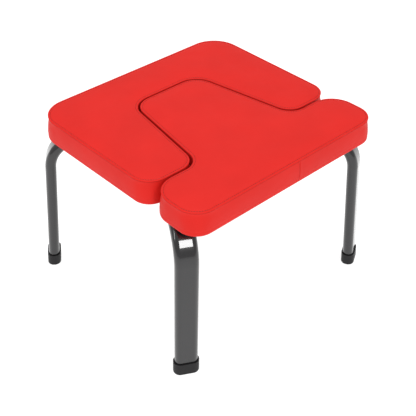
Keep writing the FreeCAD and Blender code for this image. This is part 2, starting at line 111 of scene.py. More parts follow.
class FrameSizes(bpy.types.PropertyGroup):
    """Welds on the tube frame."""

    tube_corner: length("Tube corner", "Corner radius of the flat-sided oval tube", 0.0095)
    weld_radius: length("Weld radius", "Radius of the bead where the cross tube meets the rails", 0.0022)
    weld_ripple: length("Weld ripple", "Distance between the ripples of a bead", 0.0026)


class Colours(bpy.types.PropertyGroup):
    """Colours of the finishes, as sRGB hex values."""

    leatherette: colour("Leatherette", "Cover of both pads", "#D92822")
    # painted shade: the colour the cover is drawn in down its seam, stitch and join folds
    painted_fold_shade: colour("Seam shade", "Leatherette down in a fold", "#A41A16")
    # partly painted shade: the thread is drawn darker than the cover, for the shade in its needle holes
    thread: colour("Thread", "Top-stitching", "#A01714")
    paint: colour("Paint", "Side tubes, cross tube and welds", "#151416")
    rubber: colour("Rubber", "Foot caps", "#111012")
    dust_cover: colour("Dust cover", "Non-woven cover under the pads", "#1C1C1E")
    plywood: colour("Plywood", "Boards inside the pads", "#D3AE7C")
    foam: colour("Foam", "Filling of the pads", "#E9DFB9")
    nylon: colour("Nylon", "Locating pins", "#1B1B1C")
    zinc: colour("Zinc", "Bolts, washers, nuts, screws and staples", "#C3C6CA")


class StageSizes(bpy.types.PropertyGroup):
    """Camera and studio."""

    camera_place: bpy.props.FloatVectorProperty(
        name="Camera place", description="Where the camera stands", unit="LENGTH",
        default=(-0.90729, -0.96800, 1.15306), precision=5)
    azimuth: angle("Azimuth", "Direction of the camera round the bench", -43.67)
    elevation: angle("Elevation", "Height of the camera above the horizon", 37.78)
    roll: angle("Roll", "Tilt of the camera about its own axis", 0.82)
    lens: bpy.props.FloatProperty(name="Lens", description="Focal length in millimetres", default=77.22)
    floor_width: length("Floor width", "Side of the square floor", 14.0)


# ---------------------------------------------------------------- materials

def linear(hex_colour):
    """An sRGB hex colour as linear red, green, blue and alpha."""
    channels = [int(hex_colour[start:start + 2], 16) / 255 for start in (1, 3, 5)]
    return (*(c / 12.92 if c <= 0.04045 else ((c + 0.055) / 1.055) ** 2.4 for c in channels), 1.0)


def per_metre(millimetres):
    """Texture scale whose pattern repeats after a distance in millimetres."""
    return 1 / (millimetres * MM)


def bands_per_metre(millimetres):
    """Wave texture scale whose straight bands repeat after a distance in millimetres.

    Diagonal bands repeat after twice that distance along each axis.
    """
    return 2 * math.pi / (20 * millimetres * MM)


def node(tree, kind, settings=(), inputs=(), links=()):
    """Add a node with its settings, input values and incoming links."""
    made = tree.nodes.new(kind)
    for name, setting in dict(settings).items():
        setattr(made, name, setting)
    for name, number in dict(inputs).items():
        made.inputs[name].default_value = number
    for name, source in dict(links).items():
        tree.links.new(source, made.inputs[name])
    return made


def new_material(name, values):
    """A material with a Principled shader, and the object coordinates that its patterns use."""
    material = bpy.data.materials.new(name)
    material.use_nodes = True
    tree = material.node_tree
    shader = tree.nodes["Principled BSDF"]
    for socket, number in values.items():
        shader.inputs[socket].default_value = number
    place = node(tree, "ShaderNodeTexCoord").outputs["Object"]
    return material, tree, shader, place


def shades(tree, factor, dark, light, low=0.3, high=0.7):
    """Two linear colours run together over a pattern's values."""
    ramp = node(tree, "ShaderNodeValToRGB", links={"Fac": factor})
    ramp.color_ramp.elements[0].position = low
    ramp.color_ramp.elements[0].color = dark
    ramp.color_ramp.elements[1].position = high
    ramp.color_ramp.elements[1].color = light
    return ramp.outputs["Color"]


def tinted(hex_colour, factor):
    """A linear colour made lighter or darker by a factor."""
    red, green, blue, alpha = linear(hex_colour)
    return (min(red * factor, 1), min(green * factor, 1), min(blue * factor, 1), alpha)


def spread(tree, factor, low, high):
    """A pattern's values moved into a range."""
    return node(tree, "ShaderNodeMapRange", inputs={"To Min": low, "To Max": high},
                links={"Value": factor}).outputs["Result"]


def relief(tree, shader, height, depth_mm, under=None):
    """Raise the surface by a pattern, up to a depth in millimetres."""
    bump = node(tree, "ShaderNodeBump", inputs={"Distance": depth_mm * MM, "Strength": 1.0},
                links={"Height": height})
    if under is not None:
        tree.links.new(under, bump.inputs["Normal"])
    tree.links.new(bump.outputs["Normal"], shader.inputs["Normal"])
    return bump.outputs["Normal"]


def leatherette_material(colours):
    """PVC leatherette, calendered and embossed: even saturated red, soft wide highlights, fine grain, painted
    shade in its folds.
    """
    material, tree, shader, place = new_material("red_pvc_leatherette_embossed",
                                                 {"IOR": 1.52, "Specular IOR Level": 0.09})
    cloudy = node(tree, "ShaderNodeTexNoise", inputs={"Scale": per_metre(70), "Detail": 3.0},
                  links={"Vector": place}).outputs["Fac"]
    body = shades(tree, cloudy, tinted(colours.leatherette, 0.965), tinted(colours.leatherette, 1.03))
    # painted shade: the "fold" attribute draws the cover darker down in its seam, stitch and join folds
    fold = node(tree, "ShaderNodeAttribute", {"attribute_name": "fold"}).outputs["Fac"]
    fold_shaded = node(tree, "ShaderNodeMix", {"data_type": "RGBA"},
                {"B": linear(colours.painted_fold_shade)}, {"Factor": fold, "A": body})
    tree.links.new(fold_shaded.outputs["Result"], shader.inputs["Base Color"])
    # pebbles of the embossing roll are 0.9 mm across, with hair-fine pores between them
    pebbles = node(tree, "ShaderNodeTexVoronoi", {"feature": "SMOOTH_F1"},
                   {"Scale": per_metre(0.9), "Smoothness": 0.6}, {"Vector": place}).outputs["Distance"]
    wrinkles = node(tree, "ShaderNodeTexNoise", inputs={"Scale": per_metre(14), "Detail": 2.0},
                    links={"Vector": place}).outputs["Fac"]
    soft = relief(tree, shader, wrinkles, 0.25)
    relief(tree, shader, pebbles, 0.045, soft)
    worn = node(tree, "ShaderNodeTexNoise", inputs={"Scale": per_metre(25), "Detail": 5.0},
                links={"Vector": place}).outputs["Fac"]
    tree.links.new(spread(tree, worn, 0.44, 0.58), shader.inputs["Roughness"])
    return material


def thread_material(colours):
    """Bonded polyester thread, twisted: duller than the cover, darker by its own dye and by painted
    needle-hole shade.
    """
    material, tree, shader, place = new_material("red_polyester_thread_twisted",
                                                 {"IOR": 1.54, "Roughness": 0.62})
    # the thread's own twist is much finer: these soft bands come every 20 mm along each axis
    twist = node(tree, "ShaderNodeTexWave", {"bands_direction": "DIAGONAL"},
                 {"Scale": bands_per_metre(10.05), "Distortion": 0.6}, {"Vector": place}).outputs["Fac"]
    tree.links.new(shades(tree, twist, tinted(colours.thread, 0.75), tinted(colours.thread, 1.15)),
                   shader.inputs["Base Color"])
    relief(tree, shader, twist, 0.06)
    return material


def paint_material(colours):
    """Gloss powder coat, sprayed and baked: charcoal that mirrors white surroundings as dark grey."""
    material, tree, shader, place = new_material(
        "grey_powder_coat_gloss",
        {"IOR": 1.5, "Specular IOR Level": 0.25,
         "Coat Weight": 1.0, "Coat Roughness": 0.04, "Coat IOR": 1.5})
    speckle = node(tree, "ShaderNodeTexNoise", inputs={"Scale": per_metre(1.2), "Detail": 1.0},
                   links={"Vector": place}).outputs["Fac"]
    tree.links.new(shades(tree, speckle, tinted(colours.paint, 0.92), tinted(colours.paint, 1.1)),
                   shader.inputs["Base Color"])
    # orange peel ripples are 3 mm apart and up to 0.03 mm high
    peel = node(tree, "ShaderNodeTexNoise", inputs={"Scale": per_metre(3), "Detail": 2.0},
                links={"Vector": place}).outputs["Fac"]
    relief(tree, shader, peel, 0.03)
    handled = node(tree, "ShaderNodeTexNoise", inputs={"Scale": per_metre(40), "Detail": 4.0},
                   links={"Vector": place}).outputs["Fac"]
    tree.links.new(spread(tree, handled, 0.2, 0.32), shader.inputs["Roughness"])
    return material


def rubber_material(colours):
    """Nitrile rubber, compression moulded: near black, dull, with a faint sparked mould texture."""
    material, tree, shader, place = new_material("black_rubber_moulded",
                                                 {"IOR": 1.52, "Specular IOR Level": 0.35})
    dusty = node(tree, "ShaderNodeTexNoise", inputs={"Scale": per_metre(18), "Detail": 6.0},
                 links={"Vector": place}).outputs["Fac"]
    tree.links.new(shades(tree, dusty, tinted(colours.rubber, 0.85), tinted(colours.rubber, 1.3)),
                   shader.inputs["Base Color"])
    sparked = node(tree, "ShaderNodeTexNoise", inputs={"Scale": per_metre(0.7), "Detail": 2.0},
                   links={"Vector": place}).outputs["Fac"]
    relief(tree, shader, sparked, 0.04)
    tree.links.new(spread(tree, dusty, 0.52, 0.7), shader.inputs["Roughness"])
    return material


def nonwoven_material(colours):
    """Spunbond polypropylene, calendered: matt black fibres pressed together at a grid of points."""
    material, tree, shader, place = new_material(
        "black_spunbond_nonwoven", {"IOR": 1.49, "Roughness": 0.92, "Sheen Weight": 0.2})
    fibres = node(tree, "ShaderNodeTexNoise", inputs={"Scale": per_metre(0.8), "Detail": 6.0,
                                                      "Distortion": 2.5}, links={"Vector": place})
    # bond points stand 2.2 mm apart
    bonds = node(tree, "ShaderNodeTexVoronoi", {"feature": "F1"},
                 {"Scale": per_metre(2.2), "Randomness": 0.15}, {"Vector": place}).outputs["Distance"]
    tree.links.new(shades(tree, fibres.outputs["Fac"], tinted(colours.dust_cover, 0.7),
                          tinted(colours.dust_cover, 1.7)), shader.inputs["Base Color"])
    pressed = relief(tree, shader, bonds, 0.2)
    relief(tree, shader, fibres.outputs["Fac"], 0.12, pressed)
    return material


def plywood_material(colours):
    """Birch plywood, sawn and sanded: pale, with long grain and slow changes of tone through it."""
    material, tree, shader, place = new_material("birch_plywood_sanded",
                                                 {"IOR": 1.5, "Roughness": 0.66})
    # the tone repeats every 15 mm, so single plies are not drawn
    layers = node(tree, "ShaderNodeTexWave", {"bands_direction": "Z"},
                 {"Scale": bands_per_metre(15.08), "Distortion": 0.4}, {"Vector": place}).outputs["Fac"]
    along = node(tree, "ShaderNodeMapping", inputs={"Scale": (0.08, 1.0, 1.0)}, links={"Vector": place})
    grain = node(tree, "ShaderNodeTexNoise", inputs={"Scale": per_metre(3), "Detail": 8.0},
                 links={"Vector": along.outputs["Vector"]}).outputs["Fac"]
    striped = node(tree, "ShaderNodeMath", {"operation": "MULTIPLY"},
                   links={0: layers, 1: grain}).outputs["Value"]
    dark, light = tinted(colours.plywood, 0.6), tinted(colours.plywood, 1.05)
    tree.links.new(shades(tree, striped, dark, light, 0.1, 0.5), shader.inputs["Base Color"])
    relief(tree, shader, grain, 0.08)
    return material


def foam_material(colours):
    """Polyurethane foam, cut from a block: pale cream, dull, with open cells."""
    material, tree, shader, place = new_material("polyurethane_foam_cut",
                                                 {"IOR": 1.45, "Roughness": 0.95})
    # cells of 0.6 mm are drawn at 1.2 mm so that they show
    cells = node(tree, "ShaderNodeTexVoronoi", {"feature": "F1"}, {"Scale": per_metre(1.2)},
                 {"Vector": place}).outputs["Distance"]
    tree.links.new(shades(tree, cells, tinted(colours.foam, 1.05), tinted(colours.foam, 0.7)),
                   shader.inputs["Base Color"])
    relief(tree, shader, cells, 0.3)
    return material


def nylon_material(colours):
    """Nylon rod, turned: black with a waxy gloss and shallow tool rings 3 mm apart."""
    material, tree, shader, place = new_material("black_nylon_turned",
                                                 {"IOR": 1.53, "Roughness": 0.38})
    rings = node(tree, "ShaderNodeTexWave", {"bands_direction": "Z"},
                 {"Scale": bands_per_metre(3.14), "Distortion": 0.2}, {"Vector": place}).outputs["Fac"]
    tree.links.new(shades(tree, rings, tinted(colours.nylon, 0.85), tinted(colours.nylon, 1.3)),
                   shader.inputs["Base Color"])
    relief(tree, shader, rings, 0.02)
    return material


def zinc_material(colours):
    """Steel, cold headed and zinc plated: bright blue-white metal with a satin haze and small spots."""
    material, tree, shader, place = new_material("zinc_plated_steel", {"Metallic": 1.0})
    haze = node(tree, "ShaderNodeTexNoise", inputs={"Scale": per_metre(4), "Detail": 6.0},
                links={"Vector": place}).outputs["Fac"]
    tree.links.new(shades(tree, haze, tinted(colours.zinc, 0.72), tinted(colours.zinc, 1.05)),
                   shader.inputs["Base Color"])
    tree.links.new(spread(tree, haze, 0.24, 0.42), shader.inputs["Roughness"])
    relief(tree, shader, haze, 0.01)
    return material


def paper_material():
    """Translucent white studio paper, lit from below: matt and even white, which drowns the shadows."""
    material, tree, shader, place = new_material(
        "white_background_paper", {"Roughness": 0.95, "Specular IOR Level": 0.0,
                                   "Emission Color": (1, 1, 1, 1), "Emission Strength": 0.8})
    pulp = node(tree, "ShaderNodeTexNoise", inputs={"Scale": per_metre(8), "Detail": 4.0},
                links={"Vector": place}).outputs["Fac"]
    tree.links.new(shades(tree, pulp, linear("#B8B8B8"), linear("#BCBCBC")),
                   shader.inputs["Base Color"])
    return material


def finish_node(name, material):
    """Give a CAD node its finish, and leave its shape alone."""
    slots = NODES[name].material_slots
    if not slots:
        raise RuntimeError(f"{name} has no material slot")
    for place in slots:
        place.link = "OBJECT"
        place.material = material


# ---------------------------------------------------------------- outlines

def outline(corners, spacing, stops=()):
    """Points round a polygon with rounded corners, anticlockwise.

    A corner is (x, y, radius at the seam, radius at the board). A stop is a point on a
    straight side that gets close points beside it, for a seam. Each entry of the result is
    (point, outward normal) at the seam, then the same at the board.
    """
    points = []
    count = len(corners)
    arcs = []
    for index, (x, y, *radii) in enumerate(corners):
        corner = Vector((x, y))
        before = (corner - Vector(corners[index - 1][:2])).normalized()
        after = (Vector(corners[(index + 1) % count][:2]) - corner).normalized()
        turn = math.atan2(before.x * after.y - before.y * after.x, before.dot(after))
        side = math.copysign(1, turn)
        steps = max(8, math.ceil(radii[0] * abs(turn) / spacing))
        arc = [[] for _ in range(steps + 1)]
        for radius in radii:
            start = corner - before * radius * math.tan(abs(turn) / 2)
            centre = start + Vector((-before.y, before.x)) * radius * side
            for step, entry in enumerate(arc):
                ray = start - centre
                ray.rotate(Matrix.Rotation(turn * step / steps, 2))
                entry += [centre + ray, ray.normalized() * side]
        arcs.append(arc)
    for index, arc in enumerate(arcs):
        points += arc
        start, normal, low_start, _ = arc[-1]
        end, _, low_end, _ = arcs[(index + 1) % count][0]
        run = (end - start).length
        places = [step * run / round(run / spacing) for step in range(1, round(run / spacing))]
        for stop in stops:
            along = (Vector(stop) - start).dot(end - start) / run
            off = (Vector(stop) - start - (end - start) * along / run).length
            if off < MM and 0 < along < run:
                places = [place for place in places if abs(place - along) > SEAM_REACH + MM]
                places += [along + offset * sign for offset in SEAM_OFFSETS for sign in (-1, 1)]
                places.append(along)
        points += [(start.lerp(end, place / run), normal, low_start.lerp(low_end, place / run), normal)
                   for place in sorted(places)]
    return points


SEAM_OFFSETS = (0.7 * MM, 1.5 * MM, 3.0 * MM)
SEAM_REACH = SEAM_OFFSETS[-1]
ROUND_DEPTH = 6 * MM     # down to here the outer corners are as round as the top panel's
SQUARE_DEPTH = 34 * MM   # from here down they are as tight as the board's


def inset_loop(points, inset, depth=0):
    """An outline drawn in by a distance, at a depth below the seam."""
    share = min(max((depth - ROUND_DEPTH) / (SQUARE_DEPTH - ROUND_DEPTH), 0), 1)
    share = share * share * (3 - 2 * share)
    return [(point - normal * inset).lerp(low_point - low_normal * inset, share)
            for point, normal, low_point, low_normal in points]


def seat_outline(sizes, stops=()):
    """The U-shaped seat's outline."""
    low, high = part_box("seat_side_band")
    tighter = sizes.corner_tightening
    mouth = high.x - sizes.arm_width
    root = high.x - sizes.arm_root_width
    opening_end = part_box("insert_side_band")[1].y + sizes.tongue_gap
    right = [(root, opening_end, sizes.opening_corner, sizes.opening_corner),
             (mouth, low.y, sizes.arm_inner_corner, sizes.arm_inner_corner),
             (high.x, low.y, sizes.arm_outer_corner, sizes.arm_outer_corner - tighter),
             (high.x, high.y, sizes.seat_back_corner, sizes.seat_back_corner - tighter)]
    left = [(-x, *rest) for x, *rest in reversed(right)]
    return outline(right + left, sizes.point_spacing, stops)


def insert_outline(sizes, stops=()):
    """The T-shaped insert's outline."""
    low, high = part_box("insert_side_band")
    seat_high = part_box("seat_side_band")[1]
    root = seat_high.x - sizes.arm_width - sizes.tongue_gap
    tip = seat_high.x - sizes.arm_root_width - sizes.tongue_gap
    shelf = low.y + sizes.crossbar_depth
    tip_corner = sizes.opening_corner - sizes.tongue_gap
    tighter = sizes.corner_tightening
    right = [(high.x, low.y, sizes.crossbar_front_corner, sizes.crossbar_front_corner - tighter),
             (high.x, shelf, sizes.crossbar_back_corner, sizes.crossbar_back_corner - tighter),
             (root, shelf, sizes.crossbar_inner_corner, sizes.crossbar_inner_corner),
             (tip, high.y, tip_corner, tip_corner)]
    left = [(-x, *rest) for x, *rest in reversed(right)]
    return outline(right + left, sizes.point_spacing, stops)


# ---------------------------------------------------------------- meshes

def mesh_object(name, points, faces, material, fold_shades=None):
    """An object from points and faces, with unused points left out and smooth shading."""
    used = sorted({index for face in faces for index in face})
    renumbered = {old: new for new, old in enumerate(used)}
    mesh = bpy.data.meshes.new(name)
    mesh.from_pydata([points[index] for index in used], [],
                     [[renumbered[index] for index in face] for face in faces])
    mesh.polygons.foreach_set("use_smooth", [True] * len(mesh.polygons))
    # painted shade in the cover's folds, kept per point as the "fold" attribute
    if fold_shades is not None:
        attribute = mesh.attributes.new("fold", "FLOAT", "POINT")
        attribute.data.foreach_set("value", [fold_shades[index] for index in used])
    mesh.materials.append(material)
    made = bpy.data.objects.new(name, mesh)
    bpy.context.scene.collection.objects.link(made)
    return made


def inside(point, loop):
    """True if a point lies inside a closed loop."""
    crossings = 0
    for start, end in zip(loop, loop[1:] + loop[:1]):
        if (start.y > point.y) != (end.y > point.y):
            x = start.x + (point.y - start.y) * (end.x - start.x) / (end.y - start.y)
            crossings += x > point.x
    return crossings % 2 == 1


def fill(loop, spacing):
    """Even triangles that fill a closed loop: the added points, then triangles over loop and points."""
    tree = kdtree.KDTree(len(loop))
    for index, point in enumerate(loop):
        tree.insert((point.x, point.y, 0), index)
    tree.balance()
    xs, ys = [point.x for point in loop], [point.y for point in loop]
    row_height = spacing * math.sqrt(0.75)
    added = []
    for row in range(int((max(ys) - min(ys)) / row_height) + 1):
        y = min(ys) + row * row_height
        for column in range(int((max(xs) - min(xs)) / spacing) + 2):
            point = Vector((min(xs) + (column + 0.5 * (row % 2)) * spacing, y))
            if tree.find((point.x, point.y, 0))[2] > 0.62 * spacing and inside(point, loop):
                added.append(point)
    count = len(loop)
    edges = [(index, (index + 1) % count) for index in range(count)]
    made, _, triangles, origins, _, _ = geometry.delaunay_2d_cdt(loop + added, edges, [], 1, 1e-7)
    source = [origin[0] if origin else None for origin in origins]
    if None in source:
        raise RuntimeError("the fill made points of its own")
    faces = []
    for face in triangles:
        a, b, c = (made[index] for index in face)
        upward = (b - a).cross(c - a) > 0
        face = [source[index] for index in face]
        faces.append(face if upward else face[::-1])
    return added, faces


def ring_block(points, profile, seam, spacing):
    """A closed block of rings round an outline, from the top's inner ring down to the underside's.

    A profile entry is (inset, height), and seam is the seam's height. Returns points, faces
    with their group, and each point's ring: "top", "bottom" or the ring's number.
    """
    count = len(points)
    places = []
    rings = []
    for number, (inset, height) in enumerate(profile):
        for point in inset_loop(points, inset, seam - height):
            places.append(Vector((point.x, point.y, height)))
            rings.append(number)
    faces = []
    for number in range(len(profile) - 1):
        for index in range(count):
            following = (index + 1) % count
            upper, lower = number * count, (number + 1) * count
            faces.append(([upper + index, lower + index, lower + following, upper + following], number))
    for group, number in (("top", 0), ("bottom", len(profile) - 1)):
        inset, height = profile[number]
        added, triangles = fill(inset_loop(points, inset, seam - height), spacing)
        base = len(places)
        places += [Vector((point.x, point.y, height)) for point in added]
        rings += [group] * len(added)
        for triangle in triangles:
            moved = [base + index - count if index >= count else number * count + index
                     for index in triangle]
            faces.append((moved if group == "top" else moved[::-1], group))
    return places, faces, rings


def tube_mesh(paths, radius, sides):
    """Closed tubes of one radius along paths of points, as points and faces."""
    points = []
    faces = []
    for path in paths:
        base = len(points)
        for index, centre in enumerate(path):
            along = (path[min(index + 1, len(path) - 1)] - path[max(index - 1, 0)]).normalized()
            across = along.cross(Vector((0, 0, 1)))
            across = across.normalized() if across.length > 0.1 else Vector((1, 0, 0))
            upward = across.cross(along)
            swell = radius[index] if isinstance(radius, list) else radius
            for side in range(sides):
                turn = 2 * math.pi * side / sides
                points.append(centre + (across * math.cos(turn) + upward * math.sin(turn)) * swell)
        for ring in range(len(path) - 1):
            for side in range(sides):
                following = (side + 1) % sides
                start, end = base + ring * sides, base + (ring + 1) * sides
                faces.append([start + side, start + following, end + following, end + side])
        faces.append([base + side for side in reversed(range(sides))])
        faces.append([base + (len(path) - 1) * sides + side for side in range(sides)])
    return points, faces


def surface_of(pieces):
    """A search tree over pieces' surfaces as they are shown."""
    graph = bpy.context.evaluated_depsgraph_get()
    points = []
    faces = []
    for piece in pieces:
        mesh = piece.evaluated_get(graph).to_mesh()
        base = len(points)
        points += [piece.matrix_world @ vertex.co for vertex in mesh.vertices]
        faces += [[base + index for index in face.vertices] for face in mesh.polygons]
    return BVHTree.FromPolygons(points, faces)


# ---------------------------------------------------------------- pads

# Insets and heights in millimetres, from the seam between top and band.
TOP_PROFILE = ((20, 2.35), (14.5, 2.2), (10.2, 2.0), (7.6, 1.75), (6.0, 1.4), (5.0, 0.95), (4.3, 0.65),
               (3.6, 0.95), (2.8, 1.25), (1.7, 1.25), (0.8, 0.9), (0.25, 0.35), (0.2, -0.2), (0.7, -0.7))
BAND_PROFILE = ((0.5, -1.5), (0.85, -2.6), (1.1, -5), (0.8, -9), (0.3, -13.5), (0.0, -18.5),
                (0.0, -23.5), (0.0, -28), (0.0, -32), (0.0, -33.6), (0.0, -34.8), (0.0, -36),
                (0.0, -40.2), (0.55, -42.4), (1.9, -43.7), (4.0, -44.0), (9.0, -44.0), (14.0, -44.0))
SEAM_RING = len(TOP_PROFILE) - 1
STITCH_RING = 6
FIRST_STITCHED_RING = 4
CREASE_RING = len(TOP_PROFILE) + 10
FIRST_TUCKED_RING = len(TOP_PROFILE) + 13
# Painted shade: how far the cover's colour is drawn towards the shade of a fold, by rings from the seam.
SEAM_FOLD_SHADE = {-1: 0.2, 0: 0.6, 1: 0.2}
STITCH_FOLD_SHADE = 0.05
JOIN_FOLD_SHADE = 0.6
TIGHT_SHARE = 0.35              # share of the swell that is left beside the other pad
CREASE_DEPTH = 0.45 * MM
FULL_CREASE_SHIFT = 2 * MM      # the crease is full where the corner tightens by this much
JOIN_DEPTH = 1.1 * MM
JOIN_HALF_WIDTH = 0.8 * MM
JOIN_RIM_HEIGHT = 0.25 * MM
JOIN_RIM_PLACE = 2 * MM
JOIN_RIM_HALF_WIDTH = 0.9 * MM
JOIN_SHADE_HALF_WIDTH = 0.7 * MM
CLOTH_FRAMES = 20


def inflate(points, faces, held, quick):
    """Swell a closed cover under air pressure, with the sewn and stapled points held."""
    if quick:
        return points
    pad = mesh_object("pressure_form", points, [face for face, _ in faces], None)
    group = pad.vertex_groups.new(name="held")
    group.add(held, 1.0, "REPLACE")
    cloth = pad.modifiers.new("pressure", "CLOTH")
    cloth.settings.quality = 4
    cloth.settings.use_pressure = True
    cloth.settings.uniform_pressure_force = 4
    cloth.settings.effector_weights.gravity = 0
    cloth.settings.vertex_group_mass = group.name
    cloth.collision_settings.use_collision = False
    cloth.point_cache.frame_start = 1
    cloth.point_cache.frame_end = CLOTH_FRAMES
    scene = bpy.context.scene
    for step in range(1, CLOTH_FRAMES + 1):
        scene.frame_set(step)
    shown = pad.evaluated_get(bpy.context.evaluated_depsgraph_get())
    swollen = [vertex.co.copy() for vertex in shown.data.vertices]
    scene.frame_set(1)
    bpy.data.objects.remove(pad)
    return swollen


def swell_limit(place, rest, sizes, on_top):
    """How far one point of a cover may move, uneven as hand-packed foam is."""
    uneven = 1 + 0.45 * noise.noise(rest * 22)
    return (sizes.top_swell if on_top else sizes.side_swell) * uneven


def bump_at(distance, half_width):
    """A smooth bump of height 1, at a distance from its middle."""
    return math.exp(-(distance / half_width) ** 2)


def make_cover(name, body, points, material, sizes, seam_places, tight):
    """Top panel and side band of one pad. A band in a narrow gap swells less. Returns the top."""
    low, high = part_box(f"{name}_side_band")
    stretch = (high.z - low.z) / (44 * MM)
    profile = [(inset * MM, high.z + height * MM) for inset, height in TOP_PROFILE]
    profile += [(inset * MM, high.z + height * MM * stretch) for inset, height in BAND_PROFILE]
    rest, faces, rings = ring_block(points, profile, high.z, sizes.point_spacing * 1.15)
    held = [index for index, ring in enumerate(rings)
            if ring == "bottom" or ring != "top" and (
                FIRST_STITCHED_RING <= ring <= SEAM_RING + 1 or ring >= FIRST_TUCKED_RING)]
    swollen = inflate(rest, faces, held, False)
    count = len(points)
    shaped = []
    for index, (start, end, ring) in enumerate(zip(rest, swollen, rings)):
        limit = swell_limit(end, start, sizes, ring == "top" or ring != "bottom" and ring < SEAM_RING)
        if ring not in ("top", "bottom") and ring > SEAM_RING and tight(start):
            limit *= TIGHT_SHARE
        move = end - start
        if move.length > 1e-9:
            move *= limit * math.tanh(move.length / limit) / move.length
        shaped.append(start + move)
    for index, ring in enumerate(rings):
        if ring in ("top", "bottom") or ring <= SEAM_RING:
            continue
        point, normal, low_point, _ = points[index % count]
        outward = Vector((normal.x, normal.y, 0))
        if ring == CREASE_RING:
            tightness = (low_point - point).length / FULL_CREASE_SHIFT
            shaped[index] -= outward * CREASE_DEPTH * min(tightness, 1)
        for place in seam_places:
            across = (point - Vector(place)).length
            if across < 1.2 * SEAM_REACH:
                rim = JOIN_RIM_HEIGHT * bump_at(across - JOIN_RIM_PLACE, JOIN_RIM_HALF_WIDTH)
                shaped[index] -= outward * (JOIN_DEPTH * bump_at(across, JOIN_HALF_WIDTH) - rim)
    # painted shade in the seam, stitch and join folds, from 0 to 1 for each point
    fold_shades = [0.0] * len(shaped)
    for index, ring in enumerate(rings):
        if ring not in ("top", "bottom"):
            fold_shades[index] = SEAM_FOLD_SHADE.get(ring - SEAM_RING, 0.0)
            if ring == STITCH_RING:
                fold_shades[index] = STITCH_FOLD_SHADE
            if ring > SEAM_RING:
                for place in seam_places:
                    across = (points[index % count][0] - Vector(place)).length
                    shade = JOIN_FOLD_SHADE * bump_at(across, JOIN_SHADE_HALF_WIDTH)
                    fold_shades[index] = max(fold_shades[index], shade)
    pieces = []
    for part, groups in (("top_panel", ["top", *range(SEAM_RING)]),
                         ("side_band", list(range(SEAM_RING, len(profile) - 1)))):
        chosen = [face for face, group in faces if group in groups]
        piece = mesh_object(f"{name}_{part}_cover", shaped, chosen, material, fold_shades)
        smooth = piece.modifiers.new("smooth", "SUBSURF")
        smooth.levels = smooth.render_levels = 1
        cloth = piece.modifiers.new("cloth", "SOLIDIFY")
        cloth.thickness = sizes.cover_thickness
        cloth.offset = -1
        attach(piece, body)
        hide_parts(f"{name}_{part}")
        pieces.append(piece)
    return pieces[0]


def make_foam(name, body, points, material, sizes):
    """Foam block of one pad, a little smaller than the cover all round."""
    low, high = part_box(f"{name}_foam")
    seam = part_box(f"{name}_side_band")[1].z
    bottom = max(low.z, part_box(f"{name}_board")[1].z) + (1.6 * MM if name == "seat" else 0.1 * MM)
    middle = (bottom + seam) / 2
    profile = [(16 * MM, seam + 0.7 * MM), (10 * MM, seam + 0.4 * MM), (6 * MM, seam - 0.6 * MM),
               (3.6 * MM, seam - 2.4 * MM), (2.6 * MM, seam - 5.5 * MM), (2.3 * MM, middle),
               (2.3 * MM, bottom + 2 * MM), (2.8 * MM, bottom), (9 * MM, bottom)]
    places, faces, _ = ring_block(points, profile, seam, 3 * sizes.point_spacing)
    block = mesh_object(f"{name}_foam_block", places, [face for face, _ in faces], material)
    smooth = block.modifiers.new("smooth", "SUBSURF")
    smooth.levels = smooth.render_levels = 1
    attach(block, body)
    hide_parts(f"{name}_foam")


def make_stitching(name, body, points, cover, material, stitches):
    """Top-stitching of one pad: short bent threads whose ends dive into the cover."""
    surface = surface_of([cover])
    loop = inset_loop(points, stitches.inset)
    lengths = [(end - start).length for start, end in zip(loop, loop[1:] + loop[:1])]
    total = sum(lengths)
    count = round(total / stitches.pitch)
    ends = []
    reached = 0
    for span in lengths:
        reached += span
        ends.append(reached)

    def place_at(distance):
        """The point on the stitch line at a distance along it."""
        distance %= total
        index = next(number for number, end in enumerate(ends) if distance <= end)
        share = 1 - (ends[index] - distance) / lengths[index]
        return loop[index].lerp(loop[(index + 1) % len(loop)], share)

    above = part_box(f"{name}_top_panel")[1].z + 20 * MM
    dive = (-0.5, 0.55, 0.75, 0.55, -0.5)
    paths = []
    for number in range(count):
        middle = (number + 0.5) * total / count
        path = []
        for step, lift in enumerate(dive):
            point = place_at(middle + (step / (len(dive) - 1) - 0.5) * stitches.stitch)
            hit = surface.ray_cast(Vector((point.x, point.y, above)), Vector((0, 0, -1)))[0]
            if hit is None:
                raise RuntimeError(f"{name}: a stitch misses the cover")
            path.append(hit + Vector((0, 0, lift * stitches.thread_radius)))
        paths.append(path)
    threads = mesh_object(f"{name}_stitching", *tube_mesh(paths, stitches.thread_radius, 6), material)
    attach(threads, body)


def build_pad(scene, name, body, points, seams, tight):
    """Cover, foam and stitching of one pad."""
    sizes = scene.bench_pads
    materials = bpy.data.materials
    top = make_cover(name, body, points, materials["red_pvc_leatherette_embossed"], sizes, seams, tight)
    make_foam(name, body, points, materials["polyurethane_foam_cut"], sizes)
    make_stitching(name, body, points, top, materials["red_polyester_thread_twisted"],
                   scene.bench_stitches)


# ---------------------------------------------------------------- operators

class BENCH_OT_seat_pad(bpy.types.Operator):
    """Build the seat's cover, foam and stitching"""

    bl_idname = "bench.seat_pad"
    bl_label = "Seat pad"

    def execute(self, context):
        scene = context.scene
        sizes = scene.bench_pads
        low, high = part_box("seat_side_band")
        seams = [(-sizes.band_seam_place, high.y)]
        points = seat_outline(sizes, seams)
        edge = high.x - 2 * MM
        front = low.y + 12 * MM

        def tight(place):
            """True beside the insert's tongue and crossbar."""
            return place.y < front or abs(place.x) < edge and place.y < high.y - 30 * MM

        build_pad(scene, "seat", "frame", points, seams, tight)
        return {"FINISHED"}


